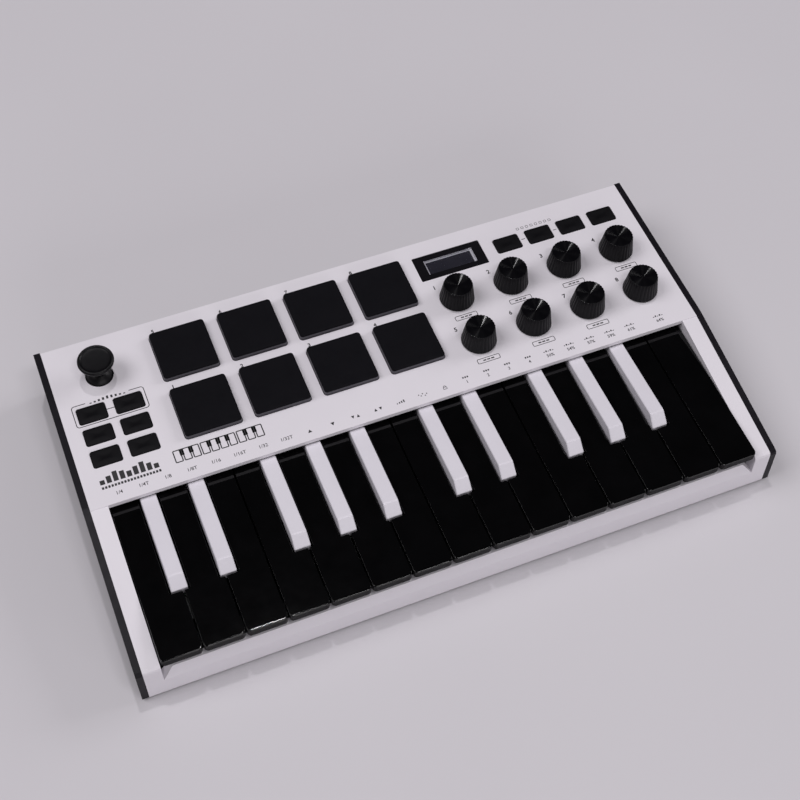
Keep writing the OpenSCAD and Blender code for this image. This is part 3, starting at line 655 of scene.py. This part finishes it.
def knob(name):
    """Fluted cone with a turned, slightly dished top, on its shaft."""
    lo, hi = box_mm(name)
    x, y = pivot_mm(name)[:2]
    foot, top = PANEL_Z + 0.5, hi[2]
    r_foot, r_top = (hi[0] - lo[0]) / 2, 7.3
    angles = np.linspace(0, FULL_TURN, FLUTES * 8 + 1)[:-1]

    def ring(radius, z, flute=0.0):
        wave = np.abs(np.cos(angles * FLUTES / 2)) ** 0.9
        r = radius - flute * (1 - wave)
        return np.column_stack([x + r * np.cos(angles), y + r * np.sin(angles), np.full(len(angles), z)])

    def cone(z):
        return r_foot + (r_top - r_foot) * (z - foot) / (top - foot)

    shape = Shape()
    deep = 0.34                             # depth of the flutes, which start over a plain collar
    rings = [ring(2.9, foot), ring(r_foot - 0.25, foot), ring(r_foot, foot + 0.2, 0.04),
             ring(cone(foot + 0.7), foot + 0.7, 0.06), ring(cone(foot + 1.5), foot + 1.5, deep)]
    for share in (0.25, 0.5, 0.75):
        z = foot + 1.5 + (top - 0.3 - foot - 1.5) * share
        rings.append(ring(cone(z), z, deep))
    rings += [ring(cone(top - 0.3), top - 0.3, 0.32), ring(cone(top) - 0.08, top - 0.1, 0.25),
              ring(cone(top) - 0.28, top, 0.14)]
    shape.loft(rings, 0, first_cap=False, last_cap=False)
    outer = cone(top) - 0.28
    dish = [ring(outer, top, 0.14), ring(outer - 0.25, top - 0.012)]
    sink = 0.92                             # the top is a very shallow cone, this deep
    for k in range(1, 17):
        share = 1 - k / 16.6
        dish.append(ring((outer - 0.25) * share, top - 0.012 - sink * (1 - share)))
    shape.loft(dish, 1, first_cap=False)
    shaft = circle(2.98, 40, (x, y))
    shape.loft([at_height(shaft, lo[2]), at_height(shaft, foot + 0.2)])
    piece(name + "_cap", shape, [KNOB_SIDE, KNOB_TOP], name, [name],
          centre=(x, y, PANEL_Z), smooth=42, weighted=False)


for number in range(1, 9):
    knob(f"knob_{number}")


# ---------------------------------------------------------------- thumb stick
def lathe(shape, profile, centre, count=96, closed=False):
    """Turns a profile of (radius, height) points about an upright axis."""
    shape.loft([at_height(circle(r, count, centre[:2]), z) for r, z in profile], closed=closed)


def dome_arc(radius, low, high, count):
    """Profile of a ball's surface between two angles over its equator."""
    return [(math.cos(a) * radius, math.sin(a) * radius) for a in np.linspace(low, high, count)]


def thumb_stick():
    """Dished cap with a raised rim, over the hollow dome that hides the pivot."""
    lo, hi = box_mm("joystick")
    pivot = pivot_mm("stick")
    rim = hi[2]
    cap_r = (hi[0] - lo[0]) / 2
    dome_r, dome_in = 6.6, 5.7
    dome_top = pivot[2] + dome_r
    shape = Shape()
    neck_r, neck_low, shaft_r = 3.6, pivot[2] + dome_in + 0.2, 1.8
    cap = [(0.05, neck_low), (2.8, neck_low), (2.8, dome_top + 0.2), (2.95, dome_top + 0.8),
           (3.1, rim - 4.2), (neck_r, rim - 3.7)]
    for k in range(7):                      # underside, swelling out to the rim
        a = k / 6
        cap.append((neck_r + (cap_r - 0.45 - neck_r) * a, rim - 3.5 + 1.45 * a ** 2.2))
    # The rim, as (in, down) from the cap's radius and its top
    cap += [(cap_r - into, rim - down) for into, down in (
        (0.12, 1.75), (0, 1.25), (0.06, 0.8), (0.28, 0.38), (0.62, 0.1), (0.95, 0), (1.25, 0.07), (1.5, 0.28),
        (1.7, 0.55), (1.9, 0.7), (2.15, 0.76))]
    for k in range(1, 7):                   # floor of the dish
        a = k / 6
        cap.append(((cap_r - 2.15) * (1 - a) + 0.05, rim - 0.76 - 0.16 * (1 - (1 - a) ** 2)))
    lathe(shape, cap, pivot)
    shell = dome_arc(dome_r, 0.137, 1.5, 16) + dome_arc(dome_in, 1.5, 0.159, 12)
    lathe(shape, [(r, pivot[2] + z) for r, z in shell], pivot, closed=True)
    lathe(shape, [(shaft_r, pivot[2] - 1.5), (shaft_r, neck_low)], pivot, 40)
    piece("thumb_stick", shape, [STICK_RUBBER], "stick", ["joystick"],
          centre=tuple(pivot), smooth=40, weighted=False)


thumb_stick()


# ---------------------------------------------------------------- screen
WINDOW_LO, WINDOW_HI = box_mm("screen_window")
SCREEN_AT = tuple(((WINDOW_LO + WINDOW_HI) / 2)[:2])
WINDOW = (WINDOW_HI[0] - WINDOW_LO[0], WINDOW_HI[1] - WINDOW_LO[1], 0.45)     # width, depth, corner radius
CLEAR = (26.5, 9.0, 0.3)
MODULE_LOW = WINDOW_LO[2] - 1.3


def screen_loop(size, grow, z):
    """Rounded rectangle (width, depth, radius) about the screen's middle, grown all round."""
    width, depth, radius = size
    return at_height(rounded_rect(width + grow, depth + grow, max(0.05, radius + grow / 2), 6, SCREEN_AT), z)


def screen_frame(outer, inner, low, high, edge):
    """Flat frame between two rounded rectangles, its top edges softened."""
    shape = Shape()
    shape.loft([screen_loop(outer, 0, low), screen_loop(outer, 0, high - edge),
                screen_loop(outer, -2 * edge, high), screen_loop(inner, 2 * edge, high),
                screen_loop(inner, 0, high - edge), screen_loop(inner, 0, low)], closed=True)
    return shape


def screen_plate(size, low, high):
    shape = Shape()
    shape.loft([screen_loop(size, 0, low), screen_loop(size, 0, high)])
    return shape


piece("screen_bezel", screen_frame(WINDOW, CLEAR, WINDOW_LO[2], WINDOW_HI[2], 0.12), [BEZEL_GLOSS],
      "case", ["screen_window"])
piece("screen_pane", screen_plate((CLEAR[0] - 0.02, CLEAR[1] - 0.02, 0.29), WINDOW_LO[2] + 0.3,
                                  WINDOW_HI[2] - 0.05), [PANE], "case")
piece("display_frame", screen_frame((29.6, 11.2, 0.6), (24.6, 7.7, 0.25), MODULE_LOW, MODULE_LOW + 1.2, 0.1),
      [DISPLAY_FRAME], "case")
piece("display_film", screen_plate((25.0, 8.1, 0.3), MODULE_LOW - 0.02, MODULE_LOW + 1.0), [DISPLAY_FILM],
      "case")


# ---------------------------------------------------------------- sockets in the back wall
MOUNTS = {m["name"]: m for m in frame["record"]["mounts"]}


def socket_trim(name, outer, inner, mount, recess):
    """Steel frame that lines a socket's mouth; its outlines are in X and Z about the mount's axis."""
    axis = np.array(MOUNTS[mount]["pos_m"]) / MM
    rings = [[(axis[0] + u, CASE_BACK - depth, axis[2] + v) for u, v in outline]
             for outline, depth in ((outer, 0.8), (outer, recess), (inner, recess), (inner, 3.0),
                                    (outer, 3.0))]
    shape = Shape()
    shape.loft(rings, closed=True)
    piece(name, shape, [STEEL], "case")


socket_trim("pedal_jack_collar", circle(5.0, 64), circle(3.3, 64), "pedal_jack", 0.1)
socket_trim("data_socket_shell", rounded_rect(12.0, 11.0, 0.6), rounded_rect(8.6, 7.9, 0.3),
            "data_socket", 0.15)


# ---------------------------------------------------------------- printing
class Printing(Shape):
    """Thin ink marks on the panel."""

    low, high = PANEL_Z - 0.01, PANEL_Z + 0.02

    def polygon(self, points):
        outline = np.array(points, float)
        self.loft([at_height(outline, self.low), at_height(outline, self.high)])

    def bar(self, x0, y0, x1, y1):
        self.polygon([(x0, y0), (x1, y0), (x1, y1), (x0, y1)])

    def band(self, outer, inner):
        """Closed line between two outlines with the same number of points."""
        self.loft([at_height(outer, self.low), at_height(outer, self.high), at_height(inner, self.high),
                   at_height(inner, self.low)], closed=True)

    def outline_box(self, x0, y0, x1, y1, radius, line):
        centre = ((x0 + x1) / 2, (y0 + y1) / 2)
        w, d = x1 - x0, y1 - y0
        self.band(rounded_rect(w, d, radius, 6, centre),
                  rounded_rect(w - 2 * line, d - 2 * line, radius - line, 6, centre))

    def path(self, points, line):
        """Open line through the points, one quad to a stretch."""
        points = np.array(points, float)
        count = len(points)
        sides = []
        for k in range(count):
            before = points[max(k - 1, 0)]
            after = points[min(k + 1, count - 1)]
            along = (after - before) / np.linalg.norm(after - before)
            normal = np.array([-along[1], along[0]])
            sides.append((points[k] + normal * line / 2, points[k] - normal * line / 2))
        outline = np.array([s[0] for s in sides] + [s[1] for s in reversed(sides)])
        rings = [at_height(outline, self.low), at_height(outline, self.high)]
        total = len(outline)
        flat = [p for ring in rings for p in ring]
        faces = [[k, (k + 1) % total, total + (k + 1) % total, total + k] for k in range(total)]
        for k in range(count - 1):
            a, b, c, d = k, k + 1, total - 2 - k, total - 1 - k
            faces.append([a, b, c, d])
            faces.append([total + a, total + b, total + c, total + d])
        self.add(flat, faces)

    def text(self, words, x, y, size, weight):
        """Numbers or note values about a point, thickened by weight."""
        curve = bpy.data.curves.new("words", "FONT")
        curve.body = words
        curve.size = size
        curve.offset = weight
        curve.align_x = "CENTER"
        curve.align_y = "CENTER"
        curve.resolution_u = 2
        curve.extrude = (self.high - self.low) / 2
        writer = bpy.data.objects.new("words", curve)
        bpy.context.scene.collection.objects.link(writer)
        bpy.context.view_layer.update()
        solid = writer.evaluated_get(bpy.context.evaluated_depsgraph_get())
        mesh = bpy.data.meshes.new_from_object(solid)
        middle = (self.high + self.low) / 2
        self.add([(v.co.x + x, v.co.y + y, v.co.z + middle) for v in mesh.vertices],
                 [list(f.vertices) for f in mesh.polygons])
        bpy.data.meshes.remove(mesh)
        bpy.data.objects.remove(writer)
        bpy.data.curves.remove(curve)


def arc(cx, cy, r, start, end, steps=6):
    return [(cx + r * math.cos(a), cy + r * math.sin(a))
            for a in np.linspace(math.radians(start), math.radians(end), steps + 1)]


ink = Printing()
LINE = 0.4
# Box round the first two left buttons, open at the top where rising and falling steps fill the gap
first, second = box_mm("button_left_1"), box_mm("button_left_2")
bx0, bx1 = first[0][0] + BUTTON_FLANGE - 1.7, second[1][0] - BUTTON_FLANGE + 1.7
by0, by1 = first[0][1] + BUTTON_FLANGE - 1.1, first[1][1] - BUTTON_FLANGE + 2.2
mid_x, mid_y = (bx0 + bx1) / 2, (first[0][1] + first[1][1]) / 2
corner, gap, step_pitch = 1.4, 10.6, 2.05
ink.path([(mid_x - gap, by1), *arc(bx0 + corner, by1 - corner, corner, 90, 180),
          *arc(bx0 + corner, by0 + corner, corner, 180, 270),
          *arc(bx1 - corner, by0 + corner, corner, 270, 360),
          *arc(bx1 - corner, by1 - corner, corner, 0, 90), (mid_x + gap, by1)], LINE)
ink.bar(first[1][0] - 0.7, mid_y - LINE / 2, second[0][0] + 0.7, mid_y + LINE / 2)
for step in range(9):
    x, y = mid_x - 8.6 + step * step_pitch, by1 - 0.95
    ink.bar(x, y, x + 1.0, y + 0.55 + 0.32 * (4 - abs(step - 4)))

# Links between the top buttons, and a row of small pads over them
tops = [box_mm(f"button_top_{k}") for k in range(1, 5)]
top_mid = (tops[0][0][1] + tops[0][1][1]) / 2
for left, right in zip(tops[:2], tops[1:3]):
    x = (left[1][0] + right[0][0]) / 2
    ink.bar(x - 1.0, top_mid - LINE / 2, x + 1.0, top_mid + LINE / 2)
label_x = (tops[0][0][0] + tops[2][1][0]) / 2
for step in range(8):
    x = label_x - 9.1 + step * 2.6
    ink.outline_box(x - 0.75, top_mid + 6.4, x + 0.75, top_mid + 7.9, 0.4, 0.22)

# Numbers by the knobs and pads, and a box with dashes in front of each knob but the last
for number in range(1, 9):
    kx, ky = pivot_mm(f"knob_{number}")[:2]
    ink.text(str(number), kx - 8.3, ky + 9.5, 3.3, 0.09)
    if number < 8:
        ink.outline_box(kx - 6.0, ky - 13.6, kx + 6.0, ky - 10.7, 0.8, 0.32)
        for step in range(3):
            ink.bar(kx - 2.9 + step * 2.1, ky - 12.5, kx - 1.3 + step * 2.1, ky - 11.8)
    lo, hi = box_mm(f"pad_{number}")
    ink.text(str(number), lo[0] + 4.4, hi[1] + 1.1, 2.9, 0.09)

# The row over the keys: note values, signs, then numbers with small marks over them
ROW_Y = PANEL_FRONT + 4.9
ROW_X = box_mm(NATURALS[0])[0][0] + 6.1
SIGN_PITCH, NUMBER_PITCH = 11.5, 11.1
for k, words in enumerate(["1/4", "1/4T", "1/8", "1/8T", "1/16", "1/16T", "1/32", "1/32T"]):
    ink.text(words, ROW_X + SIGN_PITCH * k, ROW_Y, 2.6, 0.02)
up, down, up_down, down_up, stairs, dots, lock = (ROW_X + SIGN_PITCH * k for k in range(8, 15))
ink.polygon([(up - 1.0, ROW_Y - 0.8), (up + 1.0, ROW_Y - 0.8), (up, ROW_Y + 0.9)])
ink.polygon([(down, ROW_Y - 0.9), (down + 1.0, ROW_Y + 0.8), (down - 1.0, ROW_Y + 0.8)])
for x, signs in ((up_down, (-1, 1)), (down_up, (1, -1))):
    for side, sign in zip((-1.3, 1.3), signs):
        reach = 0.8 * sign
        ink.polygon([(x + side - reach, ROW_Y - reach), (x + side + reach, ROW_Y - reach),
                     (x + side, ROW_Y + reach)])
for k in range(4):
    x = stairs - 2.1 + 1.15 * k
    ink.bar(x, ROW_Y - 0.7, x + 0.6, ROW_Y - 0.2 + 0.35 * k)
for k, lift in enumerate((0.5, -0.3, 0.7, -0.6, 0.2)):
    ink.polygon(circle(0.3, 16, (dots - 2.0 + k, ROW_Y + lift)))
ink.outline_box(lock - 1.0, ROW_Y - 0.9, lock + 1.0, ROW_Y + 0.5, 0.3, 0.25)
ink.path([(lock - 0.55, ROW_Y + 0.4), *arc(lock, ROW_Y + 0.6, 0.55, 180, 0), (lock + 0.55, ROW_Y + 0.4)],
         0.24)
for k, words in enumerate(["1", "2", "3", "4", "50%", "54%", "57%", "59%", "61%", "64%"]):
    x = ROW_X + SIGN_PITCH * 15 + NUMBER_PITCH * k + (5.0 if k == 9 else 0.0)
    ink.text(words, x, ROW_Y - 0.6, 2.4, 0.03)
    marks = 3 if k < 4 else 5
    for m in range(marks):
        side = x + (m - (marks - 1) / 2) * 1.15
        ink.bar(side - 0.36, ROW_Y + 1.75, side + 0.36, ROW_Y + 2.15 + (0.5 if k < 4 or m % 2 else 0.0))

# Plain pictograms where the panel had names: level bars, and a short row of keys
BADGE_Y = PANEL_FRONT + 11.2
bars_x = box_mm("button_left_5")[0][0]
for k, height in enumerate((2.4, 3.8, 5.4, 4.4, 3.2, 4.6, 5.8, 4.0, 2.6)):
    x = bars_x + 2.4 + 3.2 * k
    ink.bar(x - 1.15, BADGE_Y, x + 1.15, BADGE_Y + height)
for k in range(19):
    x = bars_x + 1.9 + 1.5 * k
    ink.bar(x - 0.5, BADGE_Y - 2.5, x + 0.5, BADGE_Y - 1.2)
keys_x, key_step = box_mm("pad_1")[0][0] - 6.6, 4.4
for k in range(10):
    x = keys_x + key_step * k
    ink.outline_box(x, BADGE_Y - 1.0, x + 3.9, BADGE_Y + 5.9, 0.6, 0.55)
for k in (0, 1, 3, 4, 5, 7, 8):
    x = keys_x + key_step * k + 4.15
    ink.bar(x - 1.05, BADGE_Y + 2.3, x + 1.05, BADGE_Y + 5.9)
piece("panel_printing", ink, [INK], "case", smooth=30, weighted=False)


# ---------------------------------------------------------------- carried-over CAD nodes
def carry(node, material, width=0.0, segments=2):
    """Keeps a CAD node, gives it a finish and, where width is set, softened edges."""
    thing = NODES[node]
    if not thing.material_slots:
        thing.data.materials.append(material)
    for place in thing.material_slots:
        place.material = material
    weld = thing.modifiers.new("weld", "WELD")
    weld.merge_threshold = 1e-6
    if width:
        flat = thing.modifiers.new("planar", "DECIMATE")
        flat.decimate_type = "DISSOLVE"
        flat.angle_limit = math.radians(0.5)
        bevel(thing, width, 30, segments).harden_normals = True


carry("top_case", WHITE_ABS, 0.4, 3)
carry("bottom_case", BLACK_ABS, 0.35)
carry("key_frame", FRAME_PLASTIC)
carry("circuit_boards", BOARD)
carry("screws", STEEL)
carry("feet", FOOT_RUBBER)
carry("stick_gimbal", GIMBAL_STEEL)


# ---------------------------------------------------------------- floor, light and camera
BACKDROP_TINT, BACKDROP = (0.97, 0.94, 1.0, 1.0), 0.50


def floor():
    """Pale paper that passes into an evenly lit backdrop well away from the object."""
    material, tree, shader = new_material("backdrop_paper", Specular_IOR_Level=0.2)
    drift_colour(tree, shader, noise(tree, 2.2), (0.60, 0.58, 0.61), (0.63, 0.61, 0.64))
    drift_gloss(tree, shader, noise(tree, 90.0), 0.8, 0.95)
    bump(tree, shader, noise(tree, 6.0, 4.0, 0.5), 0.3, 1.2)
    place = add_node(tree, "ShaderNodeTexCoord").outputs["Object"]
    away = add_node(tree, "ShaderNodeVectorMath", {0: place}, operation="LENGTH").outputs["Value"]
    glow = add_node(tree, "ShaderNodeEmission", {"Color": BACKDROP_TINT, "Strength": BACKDROP})
    whole = add_node(tree, "ShaderNodeMixShader", {0: remap(tree, away, 0.8, 2.0, 0.0, 1.0),
                                                   1: shader.outputs[0], 2: glow.outputs[0]})
    tree.links.new(whole.outputs[0], tree.nodes["Material Output"].inputs["Surface"])
    mesh = bpy.data.meshes.new("floor")
    half = 3.0
    corners = [(-half, -half, 0), (half, -half, 0), (half, half, 0), (-half, half, 0)]
    mesh.from_pydata(corners, [], [(0, 1, 2, 3)])
    mesh.materials.append(material)
    thing = bpy.data.objects.new("floor", mesh)
    bpy.context.scene.collection.objects.link(thing)


def soft_light(name, place, aim, size, power):
    """Rectangular light at a place, facing a point, that the camera doesn't see itself."""
    lamp = bpy.data.lights.new(name, "AREA")
    lamp.shape = "RECTANGLE"
    lamp.size, lamp.size_y = size
    lamp.energy = power
    lamp.color = (1.0, 0.98, 1.0)
    thing = bpy.data.objects.new(name, lamp)
    thing.location = place
    thing.rotation_euler = (Vector(aim) - Vector(place)).to_track_quat("-Z", "Y").to_euler()
    thing.visible_camera = False
    bpy.context.scene.collection.objects.link(thing)


def studio_world():
    """Pale all round for the eye, a weak even fill for surfaces, and almost black in reflections."""
    world = bpy.data.worlds.new("studio")
    world.use_nodes = True
    tree = world.node_tree
    rays = add_node(tree, "ShaderNodeLightPath")
    fill, backdrop, mirrored = (
        add_node(tree, "ShaderNodeBackground", {"Color": BACKDROP_TINT, "Strength": strength}).outputs[0]
        for strength in (0.10, BACKDROP, 0.015))
    seen = add_node(tree, "ShaderNodeMixShader", {0: rays.outputs["Is Camera Ray"], 1: fill, 2: backdrop})
    whole = add_node(tree, "ShaderNodeMixShader",
                     {0: rays.outputs["Is Glossy Ray"], 1: seen.outputs[0], 2: mirrored})
    tree.links.new(whole.outputs[0], tree.nodes["World Output"].inputs["Surface"])
    bpy.context.scene.world = world


def camera(place, aim, roll, lens):
    """Camera at a place, looking at a point, turned about its own view line by roll degrees."""
    data = bpy.data.cameras.new("camera")
    data.lens = lens
    data.sensor_width = 36.0
    data.clip_start = 0.02
    data.clip_end = 30.0
    thing = bpy.data.objects.new("camera", data)
    turn = (Vector(aim) - Vector(place)).to_track_quat("-Z", "Y").to_matrix().to_4x4()
    thing.matrix_world = Matrix.Translation(place) @ turn @ Matrix.Rotation(math.radians(roll), 4, "Z")
    bpy.context.scene.collection.objects.link(thing)
    bpy.context.scene.camera = thing


floor()
soft_light("left_softbox", (-1.5, 0.35, 2.2), (0, 0.05, 0), (1.5, 1.5), 29.5)
soft_light("right_softbox", (2.4, 0.2, 1.3), (0, 0, 0), (1.1, 1.1), 20.0)
soft_light("key_edge_light", (0.235, -0.9, 1.85), (0.1, -0.05, 0), (0.67, 0.22), 7.0)
soft_light("front_fill", (0.3, -2.9, 0.8), (0, 0, 0), (3.0, 1.0), 28.0)
soft_light("knob_streak_light", (0.125, 0.65, 2.41), (0.09, 0.03, 0.04), (0.08, 0.08), 9.0)
studio_world()
bpy.context.scene.view_settings.view_transform = "Standard"
camera((-0.15319, -0.33235, 0.59656), (0.00666, 0.01993, 0.0), 3.08, 63.193)
